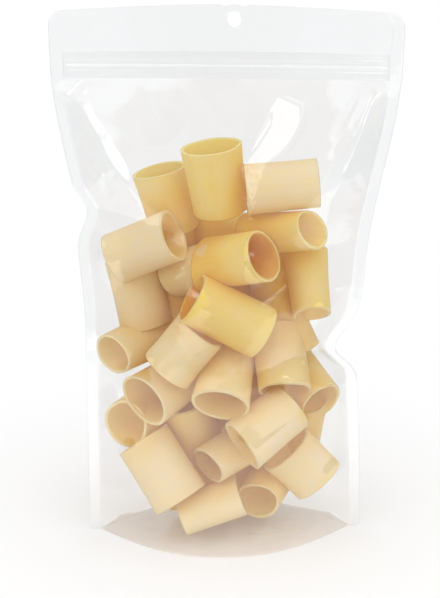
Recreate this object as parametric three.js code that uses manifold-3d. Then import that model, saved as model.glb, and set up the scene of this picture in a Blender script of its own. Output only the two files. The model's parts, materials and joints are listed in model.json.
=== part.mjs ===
// A clear stand-up pouch, zipped shut and filled with large pasta tubes.
// Millimetres, +Z up, the front towards -Y. The origin is on the surface that the
// pouch stands on, at the middle of its base.
//
// The pouch is one solid out to its film: a flat header with a hang hole, two side
// seals, a front and a back panel that belly out over the filling, and a gusset
// below that opens into a boat-shaped base between two standing edges.
// The press-to-close zip is a bar of its own, set across the film under the header.

import * as THREE from 'three';
import { mergeVertices } from 'three/addons/utils/BufferGeometryUtils.js';
import Module from 'manifold-3d';

const wasm = await Module();
wasm.setup();

// ---- Driving dimensions ----

const HEIGHT = 315; // from the standing edge to the header's top corners
const TOP_ARCH = { rise: 3, round: 1.4 }; // how much higher the top edge is at its middle
const FLAT_WIDTH = 200; // across the header, seals included
const BODY_WIDTH = 166; // across the filled body, seals included
const BASE_DEPTH = 90; // front to back at the standing edges
const SEAL_WIDTH = 6.5; // side seals
const SEAL_THICKNESS = 1; // the two films of a seal, as they lie together

const PILE_TOP = 210; // about where the panels start to close towards the zip
const PANEL_TOP = 277; // where the two panels meet, just under the zip
const SHOULDER = { foot: 180, top: 234 }; // the panels turn from round to creased here
const BULGE = 5; // how much deeper the filling is at half its height
const TAPER_TOP = 286; // the outline narrows from here ...
const TAPER_FOOT = 165; // ... down to here
const PILE_DEPTH = 86; // front to back at the pile's top

const ZIP = { height: 285, length: 185, tall: 6, thick: 3, lip: 0.2, gap: 0.3 };
const HEADER_BOW = { start: 268, perHeight: 0.3, still: 0.35 }; // bow of the header in plan
const TWIST = { height: 95, perHeight: 0.00035 }; // turn of the header over the base
const PANEL_ROUND = { across: 2.2, fullness: 1.15 }; // how full the round of a panel is
// Where the shoulder creases run, as shares of the panel's half width, and how deep
// the panel still is there, as a share of its depth at the middle.
const CREASE = { left: { top: 0.86, foot: 0.6 }, right: { top: 0.93, foot: 0.72 }, depth: 0.94 };
const HANG_HOLE = { across: 5, belowTop: 8.5, radius: 4 };
const CORNER_RADIUS = { top: 8, foot: 3 };
const GUSSET = { rim: 3, rise: 3, boatRise: 20, boatRound: 6, steepness: 1.4, reach: 70 };

// Places where a side seal is drawn in by the film around it, or, where the depth
// is negative, pushed out.
const DENTS = {
  left: [
    { height: 199, depth: 5.5, above: 9, below: 10 },
    { height: 176, depth: -3, above: 10, below: 26 },
  ],
  right: [
    { height: 116, depth: 13, above: 17, below: 10 },
    { height: 112, depth: 4, above: 45, below: 55 },
  ],
};

// ---- Form of the pouch, by height z and place x ----

const { smoothstep, clamp, lerp } = THREE.MathUtils;

// Half the width of the pouch at a height, on one side, to the edge of its seal.
function halfWidth(side, z) {
  const taper = smoothstep(z, TAPER_FOOT, TAPER_TOP);
  const dents = DENTS[side].map(({ height, depth, above, below }) => {
    const away = (z - height) / (z > height ? above : below);
    return depth * Math.exp(-(away ** 2));
  });
  return lerp(BODY_WIDTH, FLAT_WIDTH, taper) / 2 - dents.reduce((a, b) => a + b);
}

// How far the seam between the two panels lies behind the plane y = 0: the header
// bows back at its middle and forward at its corners, and is turned over the base.
function seamDepth(x, z) {
  const bow = Math.max(0, z - HEADER_BOW.start) * HEADER_BOW.perHeight;
  const turn = (z - TWIST.height) * TWIST.perHeight;
  return bow * (HEADER_BOW.still - (2 * x / FLAT_WIDTH) ** 2) - turn * x;
}

// How much a point of the header is lifted, so that the top edge is arched.
function archLift(x, z) {
  const share = clamp((z - TAPER_TOP) / (HEIGHT - TAPER_TOP), 0, 1);
  return TOP_ARCH.rise * share * (1 - Math.abs(2 * x / FLAT_WIDTH) ** TOP_ARCH.round);
}

// Half the thickness of the filling at a height, at the panels' middle. It runs
// straight down from the zip and rounds over into the full depth at the pile's top.
function bellyDepth(z) {
  const share = Math.min(1, z / PILE_TOP);
  const full = lerp(BASE_DEPTH, PILE_DEPTH, share) + BULGE * Math.sin(Math.PI * share);
  const down = Math.max(0, (PANEL_TOP - z) / (PANEL_TOP - PILE_TOP));
  return full / 2 * down / (1 + down ** 4) ** 0.25;
}

// Where the shoulder crease lies at a height, as a share of the half panel.
function creaseShare(side, z) {
  const { top, foot } = CREASE[side];
  return lerp(foot, top, clamp((z - PILE_TOP) / (PANEL_TOP - PILE_TOP), 0, 1));
}

// How much of the belly's depth a panel has at a share of its half width:
// a full round below, flat between two creases above.
function bellyProfile(side, share, z) {
  const round = (1 - share ** PANEL_ROUND.across) ** PANEL_ROUND.fullness;
  const crease = creaseShare(side, z);
  const middle = lerp(1, CREASE.depth, (share / crease) ** 2);
  const flank = CREASE.depth * (1 - share) / (1 - crease);
  const upper = smoothstep(z, SHOULDER.foot, SHOULDER.top);
  return lerp(round, share < crease ? middle : flank, upper);
}

// ---- Meshes ----

// A closed body through rings of equally many points. A ring runs along one flank
// and returns along the other, so each end is closed by a ladder of quads.
function loft(rings) {
  const count = rings[0].length;
  const index = [];
  const quad = (a, b, c, d) => index.push(a, b, c, a, c, d);
  for (let r = 0; r + 1 < rings.length; r++) {
    for (let i = 0; i < count; i++) {
      const next = (i + 1) % count;
      quad(r * count + i, r * count + next, (r + 1) * count + next, (r + 1) * count + i);
    }
  }
  const last = (rings.length - 1) * count;
  for (let i = 0; i + 1 < count / 2; i++) {
    const back = count - 1 - i;
    quad(i, back, back - 1, i + 1);
    quad(last + i, last + i + 1, last + back - 1, last + back);
  }
  const geometry = new THREE.BufferGeometry();
  geometry.setAttribute('position', new THREE.Float32BufferAttribute(rings.flat(2), 3));
  geometry.setIndex(index);
  return geometry;
}

// A three.js geometry as a solid, turned so that its faces point out.
function solid(geometry) {
  const bare = geometry.clone();
  bare.deleteAttribute('normal');
  bare.deleteAttribute('uv');
  const merged = mergeVertices(bare, 1e-4);
  const triVerts = new Uint32Array(merged.index.array);
  const make = () => new wasm.Manifold(new wasm.Mesh({
    numProp: 3,
    vertProperties: merged.attributes.position.array,
    triVerts,
  }));
  const made = make();
  if (made.volume() > 0) return made;
  for (let i = 0; i < triVerts.length; i += 3) {
    [triVerts[i + 1], triVerts[i + 2]] = [triVerts[i + 2], triVerts[i + 1]];
  }
  return make();
}

// A solid as a named mesh.
function mesh(name, body, material) {
  const { vertProperties, triVerts } = body.getMesh();
  const geometry = new THREE.BufferGeometry();
  geometry.setAttribute('position', new THREE.BufferAttribute(vertProperties, 3));
  geometry.setIndex(new THREE.BufferAttribute(triVerts, 1));
  geometry.computeVertexNormals();
  const made = new THREE.Mesh(geometry, material);
  made.name = name;
  return made;
}

// Evenly spaced values from one number to another, both included.
function steps(from, to, count) {
  return Array.from({ length: count + 1 }, (_, i) => lerp(from, to, i / count));
}

// ---- The pouch's sub-parts ----

// Columns of one side of a panel, from its middle to its seal, as shares of its
// half width. The crease has a column of its own, so that it stays sharp.
function panelColumns(side, z) {
  const crease = creaseShare(side, z);
  return [...steps(0, crease, 9), ...steps(crease, 1, 6).slice(1)];
}

// One level of the pouch: the front panel from left to right, then the back panel
// from right to left, with the side seals as its two flat ends.
function pouchRing(z) {
  const belly = bellyDepth(z) * (1 - SEAL_THICKNESS / BASE_DEPTH);
  const outwards = (side) => [
    ...panelColumns(side, z).map((share) => ({
      across: (halfWidth(side, z) - SEAL_WIDTH) * share,
      bulge: belly * bellyProfile(side, share, z),
    })),
    { across: halfWidth(side, z), bulge: 0 },
  ];
  const left = outwards('left').map(({ across, bulge }) => ({ x: -across, bulge }));
  const right = outwards('right').map(({ across, bulge }) => ({ x: across, bulge }));
  const line = [...left.slice(1).reverse(), ...right];
  const flank = (sign) => line.map(({ x, bulge }) => [
    x,
    seamDepth(x, z) + sign * (SEAL_THICKNESS / 2 + bulge),
    z + archLift(x, z),
  ]);
  return [...flank(-1), ...flank(1).reverse()];
}

function filledPouch() {
  const levels = [
    ...steps(0, 12, 2),
    ...steps(12, PILE_TOP, 27).slice(1),
    ...steps(PILE_TOP, PANEL_TOP, 11).slice(1),
    ...steps(PANEL_TOP, HEIGHT, 4).slice(1),
  ];
  return solid(loft(levels.map(pouchRing)));
}

// The open space under the gusset: shallow at the middle of the base, rising like
// a boat's bow towards each side seal, and held between the two standing edges.
function gussetSpace() {
  const rings = steps(-GUSSET.reach, GUSSET.reach, 36).map((x) => {
    const share = Math.abs(x) / (BODY_WIDTH / 2 - SEAL_WIDTH);
    const inside = BASE_DEPTH / 2 * bellyProfile('left', share, 0) - GUSSET.rim;
    const bow = GUSSET.rise + GUSSET.boatRise * share ** GUSSET.boatRound;
    const rise = Math.min(bow, GUSSET.steepness * inside);
    const arch = steps(-1, 1, 7);
    const place = (t, z) => [x, seamDepth(x, 0) + t * inside, z];
    const roof = arch.map((t) => place(t, rise * (1 - t ** GUSSET.boatRound)));
    const floor = arch.map((t) => place(t, -1)).reverse();
    return [...roof, ...floor];
  });
  return solid(loft(rings));
}

// The bar of the zip follows the bow of the film. A margin makes the slot for it.
function zipBar(margin) {
  const half = ZIP.length / 2 + margin;
  const tall = ZIP.tall / 2 + margin;
  const thick = ZIP.thick / 2 + margin;
  const lip = SEAL_THICKNESS / 2 + ZIP.lip + margin;
  const below = [[-tall, lip], [-tall / 2, lip], [-tall / 4, thick]];
  const above = below.map(([dz, dy]) => [-dz, dy]).reverse();
  const flank = [...below, ...above];
  const rings = steps(-half, half, 16).map((x) => {
    const point = (sign) => ([dz, dy]) => {
      const z = ZIP.height + dz;
      return [x, seamDepth(x, z) + sign * dy, z + archLift(x, z)];
    };
    return [...flank.map(point(-1)), ...flank.map(point(1)).reverse()];
  });
  return solid(loft(rings));
}

function hangHole() {
  const cutter = new THREE.CylinderGeometry(HANG_HOLE.radius, HANG_HOLE.radius, 60, 32);
  cutter.translate(HANG_HOLE.across, 0, HEIGHT + TOP_ARCH.rise - HANG_HOLE.belowTop);
  return solid(cutter);
}

// What rounding takes off a corner at (x, z), with the sheet lying towards
// (inX, inZ): a square less a quarter round.
function cornerCut(x, z, inX, inZ, radius) {
  const outside = new THREE.Shape();
  const over = 2;
  outside.moveTo(x - over * inX, z - over * inZ);
  outside.lineTo(x + radius * inX, z - over * inZ);
  outside.lineTo(x + radius * inX, z);
  for (const turn of steps(0, Math.PI / 2, 8).slice(1)) {
    outside.lineTo(
      x + radius * inX * (1 - Math.sin(turn)),
      z + radius * inZ * (1 - Math.cos(turn)),
    );
  }
  outside.lineTo(x - over * inX, z + radius * inZ);
  const depth = 60;
  const cutter = new THREE.ExtrudeGeometry(outside, { depth, bevelEnabled: false });
  cutter.rotateX(Math.PI / 2);
  cutter.translate(0, depth / 2, 0);
  return solid(cutter);
}

function pouch() {
  const cuts = [gussetSpace(), zipBar(ZIP.gap), hangHole()];
  for (const [side, sign] of [['left', -1], ['right', 1]]) {
    cuts.push(cornerCut(sign * halfWidth(side, HEIGHT), HEIGHT, -sign, -1, CORNER_RADIUS.top));
    cuts.push(cornerCut(sign * halfWidth(side, 0), 0, -sign, 1, CORNER_RADIUS.foot));
  }
  return cuts.reduce((body, cut) => body.subtract(cut), filledPouch());
}

// ---- Materials and the finished group ----

const filledFilm = new THREE.MeshStandardMaterial({ color: 0xe9d3a8, roughness: 0.25, metalness: 0 });
const zipPlastic = new THREE.MeshStandardMaterial({ color: 0xf2f2f0, roughness: 0.3, metalness: 0 });

const group = new THREE.Group();
group.add(mesh('pouch', pouch(), filledFilm));
group.add(mesh('zip', zipBar(0), zipPlastic));

export default group;
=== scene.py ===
"""A clear stand-up pouch with a press-to-close zip, filled with large pasta tubes.

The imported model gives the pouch's place and size. Around it this script makes three
thin walls of film (front, back and base), the two strips of the zip and the pasta
tubes inside, and it sets up a plain studio. Forms are worked out in millimetres, in
the frame's own axes: X to the right, Y to the back, Z up from the table.
"""

import functools
import json
import math

import bpy
import numpy as np
from bpy.props import FloatProperty, FloatVectorProperty, IntProperty, PointerProperty
from bpy.types import Operator, Panel, PropertyGroup
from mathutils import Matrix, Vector

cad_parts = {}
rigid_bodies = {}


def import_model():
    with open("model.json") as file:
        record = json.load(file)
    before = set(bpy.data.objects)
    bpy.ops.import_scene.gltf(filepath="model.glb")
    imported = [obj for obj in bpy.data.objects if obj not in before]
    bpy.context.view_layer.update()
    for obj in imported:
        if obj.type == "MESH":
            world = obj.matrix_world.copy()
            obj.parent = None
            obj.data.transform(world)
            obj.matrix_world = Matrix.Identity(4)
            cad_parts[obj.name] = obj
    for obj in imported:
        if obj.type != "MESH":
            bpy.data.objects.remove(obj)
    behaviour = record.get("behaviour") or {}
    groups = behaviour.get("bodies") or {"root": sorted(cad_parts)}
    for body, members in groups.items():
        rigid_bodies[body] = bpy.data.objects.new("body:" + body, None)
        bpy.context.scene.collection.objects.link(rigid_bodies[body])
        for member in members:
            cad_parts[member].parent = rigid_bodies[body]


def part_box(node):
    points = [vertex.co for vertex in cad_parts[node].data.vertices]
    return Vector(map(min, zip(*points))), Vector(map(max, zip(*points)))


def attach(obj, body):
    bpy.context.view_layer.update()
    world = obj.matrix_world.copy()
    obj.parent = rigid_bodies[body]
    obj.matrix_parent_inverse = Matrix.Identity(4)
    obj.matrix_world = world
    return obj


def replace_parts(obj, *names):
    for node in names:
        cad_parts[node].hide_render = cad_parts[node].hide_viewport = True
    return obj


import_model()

bl_info = {
    "name": "Filled Stand-Up Pouch",
    "version": (1, 0, 0),
    "blender": (4, 5, 0),
    "location": "View3D > Sidebar > Pouch",
    "description": "Makes a clear zip pouch, the pasta tubes in it and a plain studio",
    "category": "Add Mesh",
}

MM = 0.001
LOW, HIGH = (np.array(corner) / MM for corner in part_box("pouch"))
ZIP_LOW, ZIP_HIGH = (np.array(corner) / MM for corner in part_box("zip"))
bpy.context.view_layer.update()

# ---- The pouch's driving sizes, in millimetres ----

FLAT_WIDTH = HIGH[0] - LOW[0]  # across the header, seals included
ARCH_RISE = 3.0  # how much higher the top edge is at its middle
HEIGHT = HIGH[2] - ARCH_RISE  # to the header's top corners
BODY_WIDTH = 0.83 * FLAT_WIDTH  # across the filled body
BASE_DEPTH = 0.45 * FLAT_WIDTH  # front to back at the standing edges
PILE_DEPTH = 86.0  # front to back at the top of the filling
BULGE = 5.0  # how much deeper the filling is at half its height
PILE_TOP, PANEL_TOP = 210.0, 277.0  # the panels close between these heights
TAPER_FOOT, TAPER_TOP = 165.0, 286.0  # the outline widens between these heights
SHOULDER_FOOT, SHOULDER_TOP = 180.0, 234.0  # the panels turn from round to creased
SEAL_WIDTH = 6.5
CORNER_TOP, CORNER_FOOT = 8.0, 3.0  # radii of the outline's corners
CREASE = {-1: (0.6, 0.86), 1: (0.72, 0.93)}  # shoulder creases, left and right
CREASE_TOP = {-1: 261.0, 1: 277.0}  # above this height a crease runs straight up
DENTS = {  # height, depth, reach above and reach below, left and right
    -1: ((199, 5.5, 9, 10), (176, -3, 10, 26)),
    1: ((116, 13, 17, 10), (112, 4, 45, 55)),
}
HANG_HOLE = (5.0, HIGH[2] - 8.5, 4.0)  # x, z and radius
RIB_HEIGHT = (ZIP_LOW[2] + ZIP_HIGH[2]) / 2  # the zip's rib
TAPE_FOOT, TAPE_TOP = 276.3, 291.2  # the zip's tapes, welded inside the film
TAPE_HALF_LENGTH = (ZIP_HIGH[0] - ZIP_LOW[0]) / 2
GUSSET_RISE, BOAT_RISE = 4.0, 5.0  # how high the base stands at its middle, and how much more at its ends
BASE_FOOT = 0.3  # the height of the base's long edges
BASE_INSET, BASE_CLEARANCE = 1.2, 0.15  # from the base to the side seals and to the panels
BOW_FOOT, BOW_SLOPE, BOW_LEVEL = 268.0, 0.3, 0.35  # the header bows back above this height
TWIST_MIDDLE, TWIST = 95.0, 0.00035  # the pouch twists about this height, in radians for each millimetre
CREASE_DROP = 0.06  # how much of the belly is lost between its middle and a shoulder crease


def smooth_step(value, low, high):
    """From 0 at low to 1 at high, as 3 t squared less 2 t cubed."""
    t = np.clip((value - low) / (high - low), 0, 1)
    return t * t * (3 - 2 * t)


def bell(value, width):
    """One at nothing, falling off as a bell curve of that width."""
    return np.exp(-((value / width) ** 2))


def half_width(side, z):
    """Half the width at height z: a smooth taper from body to header, less a bell for each dent."""
    taper = smooth_step(z, TAPER_FOOT, TAPER_TOP)
    width = (BODY_WIDTH + (FLAT_WIDTH - BODY_WIDTH) * taper) / 2
    for height, depth, above, below in DENTS[side]:
        width = width - depth * bell(z - height, np.where(z > height, above, below))
    return width


def corner_cut(z):
    """How much narrower a quarter circle makes the outline near its top and its foot."""
    top = np.clip((z - HEIGHT) / CORNER_TOP + 1, 0, 1)
    foot = np.clip(1 - z / CORNER_FOOT, 0, 1)
    return CORNER_TOP * (1 - np.sqrt(1 - top**2)) + CORNER_FOOT * (1 - np.sqrt(1 - foot**2))


def seam_depth(x, z):
    """How far the seam lies behind y = 0.

    Across the header it is a parabola, which grows with height, and so does a twist."""
    bow = np.maximum(0, z - BOW_FOOT) * BOW_SLOPE
    turn = (z - TWIST_MIDDLE) * TWIST
    return bow * (BOW_LEVEL - (2 * x / FLAT_WIDTH) ** 2) - turn * x


def arch_lift(x, z):
    """How far the header is lifted: most at its top's middle, not at all at its corners and its foot."""
    share = np.clip((z - TAPER_TOP) / (HEIGHT - TAPER_TOP), 0, 1)
    return ARCH_RISE * share * (1 - np.abs(2 * x / FLAT_WIDTH) ** 1.4)


def belly_depth(z):
    """Half the depth of the filling at height z.

    A slope comes straight down from the zip, and below it is a slight barrel. Their
    reciprocals' fourth powers add up, which rounds the bend between them."""
    share = np.minimum(1, z / PILE_TOP)
    full = BASE_DEPTH + (PILE_DEPTH - BASE_DEPTH) * share + BULGE * np.sin(np.pi * share)
    down = np.maximum(0, (PANEL_TOP - z) / (PANEL_TOP - PILE_TOP))
    return full / 2 * down / (1 + down**4) ** 0.25


def crease_share(side, z):
    """Where the shoulder crease lies, as a share of the half panel."""
    foot, top = CREASE[side]
    return foot + (top - foot) * np.clip((z - PILE_TOP) / (CREASE_TOP[side] - PILE_TOP), 0, 1)


def panel_profile(side, share, z):
    """The belly's share at a share of the half width: a full round below, flat between two creases above."""
    rounded = np.maximum(0, 1 - share**2.2) ** 1.15
    crease = crease_share(side, z)
    middle = 1 - CREASE_DROP * (share / crease) ** 2
    flank = (1 - CREASE_DROP) * (1 - share) / (1 - crease)
    upper = smooth_step(z, SHOULDER_FOOT, SHOULDER_TOP)
    creased = np.where(share < crease, middle, flank)
    return rounded + (creased - rounded) * upper


def belly(x, z):
    """Half the depth of the filling at a point of the front view."""
    inner = np.where(x < 0, half_width(-1, z), half_width(1, z)) - SEAL_WIDTH
    share = np.clip(np.abs(x) / inner, 0, 1)
    profile = np.where(x < 0, panel_profile(-1, share, z), panel_profile(1, share, z))
    return belly_depth(z) * profile


# ---- Meshes and shader nodes ----


def grid_faces(rows, columns, close_rows=False, close_columns=False):
    """Quads between neighbours of a rows by columns grid of points, wrapped round where asked."""
    r = np.arange(rows if close_rows else rows - 1)[:, None]
    c = np.arange(columns if close_columns else columns - 1)[None, :]
    up, right = (r + 1) % rows, (c + 1) % columns
    corners = (r * columns + c, r * columns + right, up * columns + right, up * columns + c)
    return np.stack(np.broadcast_arrays(*corners), -1).reshape(-1, 4)


def thin_wall(outer, inner, kept=None):
    """A closed wall between two grids of points: both grids' faces, and a strip along every free edge."""
    rows, columns = outer.shape[:2]
    count = rows * columns
    faces = grid_faces(rows, columns)
    if kept is not None:
        faces = faces[kept.ravel()]
    starts, ends = faces.ravel(), np.roll(faces, -1, 1).ravel()
    free = ~np.isin(starts * count + ends, ends * count + starts)
    starts, ends = starts[free], ends[free]
    strip = np.stack([ends, starts, starts + count, ends + count], -1)
    points = np.concatenate([outer.reshape(-1, 3), inner.reshape(-1, 3)])
    return points, np.concatenate([faces, faces[:, ::-1] + count, strip])


def add_mesh(name, points, faces, material, attributes=None):
    """A smooth mesh object at the origin, from points in millimetres, without its unused points."""
    used, faces = np.unique(np.asarray(faces), return_inverse=True)
    faces = faces.reshape(-1, 4)
    mesh = bpy.data.meshes.new(name)
    mesh.from_pydata((np.asarray(points)[used] * MM).tolist(), [], faces.tolist())
    mesh.polygons.foreach_set("use_smooth", np.ones(len(mesh.polygons), bool))
    for label, values in (attributes or {}).items():
        values = np.asarray(values, np.float32)[used]
        vector = values.ndim > 1
        layer = mesh.attributes.new(label, "FLOAT_VECTOR" if vector else "FLOAT", "POINT")
        layer.data.foreach_set("vector" if vector else "value", values.ravel())
    mesh.materials.append(material)
    piece = bpy.data.objects.new(name, mesh)
    bpy.context.scene.collection.objects.link(piece)
    return piece


def add_piece(name, points, faces, material, attributes=None):
    """A mesh that rides on the pouch, with the material it is given."""
    piece = add_mesh(name, points, faces, material, attributes)
    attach(piece, "root")
    return piece


class Value:
    """A socket that adds, subtracts, multiplies, divides and raises by adding Math nodes."""

    def __init__(self, shader, socket):
        self.shader, self.socket = shader, socket

    def _math(self, operation, a, b):
        return self.shader.node("ShaderNodeMath", {"operation": operation}, {0: a, 1: b})

    def __add__(self, other):
        return self._math("ADD", self, other)

    def __sub__(self, other):
        return self._math("SUBTRACT", self, other)

    def __rsub__(self, other):
        return self._math("SUBTRACT", other, self)

    def __mul__(self, other):
        return self._math("MULTIPLY", self, other)

    def __truediv__(self, other):
        return self._math("DIVIDE", self, other)

    def __rtruediv__(self, other):
        return self._math("DIVIDE", other, self)

    def __pow__(self, other):
        return self._math("POWER", self, other)

    __radd__ = __add__
    __rmul__ = __mul__


class Shader:
    """A material's node tree, with one method that adds any node."""

    def __init__(self, name):
        self.material = bpy.data.materials.new(name)
        self.material.use_nodes = True
        self.tree = self.material.node_tree
        self.tree.nodes.clear()

    @classmethod
    def of_tree(cls, tree):
        """The same methods for a node tree that is already there, such as the world's."""
        shader = cls.__new__(cls)
        shader.tree = tree
        return shader

    def node(self, kind, settings=None, inputs=None, output=0):
        """Adds a node, sets it up, feeds its sockets and returns one output."""
        made = self.tree.nodes.new(kind)
        for name, value in (settings or {}).items():
            if name == "stops":
                ramp = made.color_ramp
                while len(ramp.elements) < len(value):
                    ramp.elements.new(0.5)
                for element, (place, colour) in zip(ramp.elements, value):
                    element.position, element.color = place, (*colour, 1)
            else:
                setattr(made, name, value)
        for socket, value in (inputs or {}).items():
            if isinstance(value, Value):
                self.tree.links.new(value.socket, made.inputs[socket])
            else:
                made.inputs[socket].default_value = value
        return Value(self, made.outputs[output])

    def attribute(self, name, output="Fac"):
        """What the mesh keeps at its points under a name."""
        return self.node("ShaderNodeAttribute", {"attribute_name": name}, output=output)

    def scaled(self, vector, scale):
        """A place stretched by three factors."""
        return self.node("ShaderNodeVectorMath", {"operation": "MULTIPLY"}, {0: vector, 1: scale})

    def noise(self, vector, scale, detail=2.0, roughness=0.5):
        """Smooth noise between 0 and 1."""
        inputs = {"Vector": vector, "Scale": scale, "Detail": detail, "Roughness": roughness}
        return self.node("ShaderNodeTexNoise", inputs=inputs)

    def ramp(self, value, low, high):
        """A value brought from low and high to 0 and 1, and kept there."""
        inputs = {"Value": value, "From Min": low, "From Max": high}
        return self.node("ShaderNodeMapRange", inputs=inputs)

    def mix(self, factor, a, b, blend="MIX"):
        """One colour into another."""
        settings = {"data_type": "RGBA", "blend_type": blend}
        return self.node("ShaderNodeMix", settings, {0: factor, 6: a, 7: b}, output=2)

    def bump(self, height, distance, strength=1.0):
        """A normal that leans as the height's slope asks."""
        inputs = {"Height": height, "Distance": distance, "Strength": strength}
        return self.node("ShaderNodeBump", inputs=inputs)

    def finish(self, surface):
        """Ends the tree with a surface and returns the material."""
        output = self.tree.nodes.new("ShaderNodeOutputMaterial")
        self.tree.links.new(surface.socket, output.inputs["Surface"])
        return self.material


def opaque(colour):
    """A colour with its alpha."""
    return (*colour, 1)


# ---- The pasta ----

TUBE_COUNT_AROUND, TUBE_COUNT_ALONG, TUBE_COUNT_RIM = 48, 14, 5
# How firmly a tube holds its place: one that shows near the film or at the top, one that
# shows further in, and a hidden one.
FIRM_HOLD, LOOSE_HOLD, HIDDEN_HOLD = 1, 0.35, 0.02
FIRM_FRONT, FIRM_TOP = -20.0, 195.0  # firm tubes lie before this y or above this z
LEAST_DISTANCE = 27.0  # between a hidden tube's middle and any other's
NEIGHBOUR_REACH = 54.0  # tubes whose middles are further apart hardly touch
SPIN_LEVER = 260.0  # how hard a tube is to turn, in square millimetres
# The share of each push, of each turn, of the way home and of the retreat of the deeper of
# two tubes that show, which one round of settling carries out.
TUBE_SHARE, WALL_SHARE, SPIN_SHARE, HOME_SHARE, RETREAT_SHARE = 0.8, 0.9, 0.5, 0.1, 0.3
SINK_STEP = 0.1  # how far a hidden tube sinks in a round
LARGEST_SPIN = 0.05  # the furthest a tube turns in a round, in radians
VIEW_SLOPE = 0.29  # a front tube that moves back sinks by this share, so it still shows at its place
FILM_GIVE, GIVE_REACH = 2.5, 72.0  # how far tubes may press out the film, and to which x
DEEPEST = 44.8  # no tube reaches further from the seam
PILE_FOOT, HIDDEN_TOP, HIDDEN_FRONT = 6.0, 203.0, -14.0  # the pile's lowest z, hidden tubes' top and least y
HIDDEN_LENGTH, HIDDEN_WIDTH = 40.5, 29.0  # the hidden tubes' mean sizes
LATTICE_PITCH, LATTICE_FOOT, LATTICE_RISE = 36.0, 26.0, 155.0  # where hidden tubes start
LATTICE_NEAR, LATTICE_FAR = 10.0, 27.0  # the y of its two layers
PILE_NARROW, PILE_WIDENING = 28.0, 42.0  # half the pile's width at its foot, and how much that grows
PAINTED_SHADE_REACH = 11.0  # a neighbour within about this distance lends a point its painted warm shade
PAINTED_SHADE_OUTSIDE, PAINTED_SHADE_INSIDE, PAINTED_SHADE_BURIED = 0.9, 0.1, 0.45  # the painted shade's shares from neighbours, from a tube's inside at its mouth and from depth
PATTERN_STEP = 61.0  # how far apart in the noise two tubes take their patterns

# Tubes that show at the front, each as (x, z, y of its middle, heading, lean, roll,
# length, width if it were round, its width at the head and at the tail, tone), in
# millimetres and degrees. Heading is the angle in the front view from +X towards +Z, lean
# turns the head to the front, and roll turns the oval. Tone goes from deep yellow to pale.
FRONT_TUBES = (
    (-4, 220, -6, 98, 13, 0, 40, 30, 35, 31, 0.1),
    (-33, 204, 8, 105, 4, 0, 38, 29, 32, 29, 0.32),
    (31, 217, -14, 5, -2, 0, 42, 28, 28, 29, 0.9),
    (-2, 185, 8, 3, -1, 0, 42, 29, 29, 29, 0),
    (33, 192, -22, 13, 34, -35, 42, 28, 21, 24, 0.1),
    (5, 178, -31, 18, 35, 28, 42, 30, 33, 24, 0),
    (-46, 184, -31, 27, 19, 0, 40, 29, 30, 31, 0.95),
    (-16, 165, -1, 208, -10, 0, 38, 27, 27, 27, 0.9),
    (-52, 155, -18, 97, -2, 0, 42, 29, 31, 31, 1),
    (1, 147, -33, 150, 10, 0, 47, 30, 30, 33, 0),
    (47, 162, -22, -83, 30, 0, 38, 27, 22, 27, 0.3),
    (38, 128, 6, 95, -8, 0, 38, 28, 28, 28, 0.3),
    (27, 151, 8, 78, 2, 0, 44, 28, 28, 28, 0),
    (4, 150, 16, 20, 0, 0, 42, 28, 29, 28, 0),
    (-51, 127, -21, -167, 43, 0, 42, 28, 25, 28, 0.95),
    (-24, 123, -32, 52, 3, 0, 32, 30, 31, 31, 0.9),
    (1, 108, -33, -105, 56, 0, 42, 31, 34, 30, 0.7),
    (33, 117, -33, -80, 40, -35, 38, 30, 33, 31, 0.6),
    (45, 100, -14, -63, 31, -20, 38, 27, 26, 29, 0.6),
    (-34, 101, -30, -163, 49, 35, 42, 31, 34, 29, 0.7),
    (-45, 80, -14, 175, 43, 0, 42, 29, 29, 29, 0.7),
    (-19, 75, -14, -60, 4, 0, 46, 29, 29, 29, 0.6),
    (23, 80, -35, -147, 26, 0, 38, 30, 33, 31, 0.9),
    (-37, 48, -31, 124, -17, 0, 43, 31, 34, 34, 0.85),
    (6, 61, -26, -159, 30, 0, 42, 29, 23, 25, 0.7),
    (-8, 22, -27, 20, -3, 0, 38, 28, 24, 22, 0.8),
    (27, 38, -28, -143, 62, 0, 40, 27, 25, 28, 0.5),
    (46, 52, -30, 132, 8, 0, 29, 30, 35, 33, 0.9),
    (46, 70, 4, 75, -11, 0, 38, 28, 27, 27, 0.5),
    (-6, 75, 16, 60, 0, 0, 38, 28, 28, 28, 0.4),
)


def turns(heading, lean, roll):
    """Rotation matrices whose columns are each tube's width, depth and axis."""
    head, lean, roll = (np.radians(angle)[:, None] for angle in (heading, lean, roll))
    axis = np.hstack([np.cos(head) * np.cos(lean), -np.sin(lean), np.sin(head) * np.cos(lean)])
    flat = np.hstack([np.sin(head), np.zeros_like(head), -np.cos(head)])
    across = flat * np.cos(roll) + np.cross(axis, flat) * np.sin(roll)
    return np.stack([across, np.cross(axis, across), axis], -1)


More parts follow.
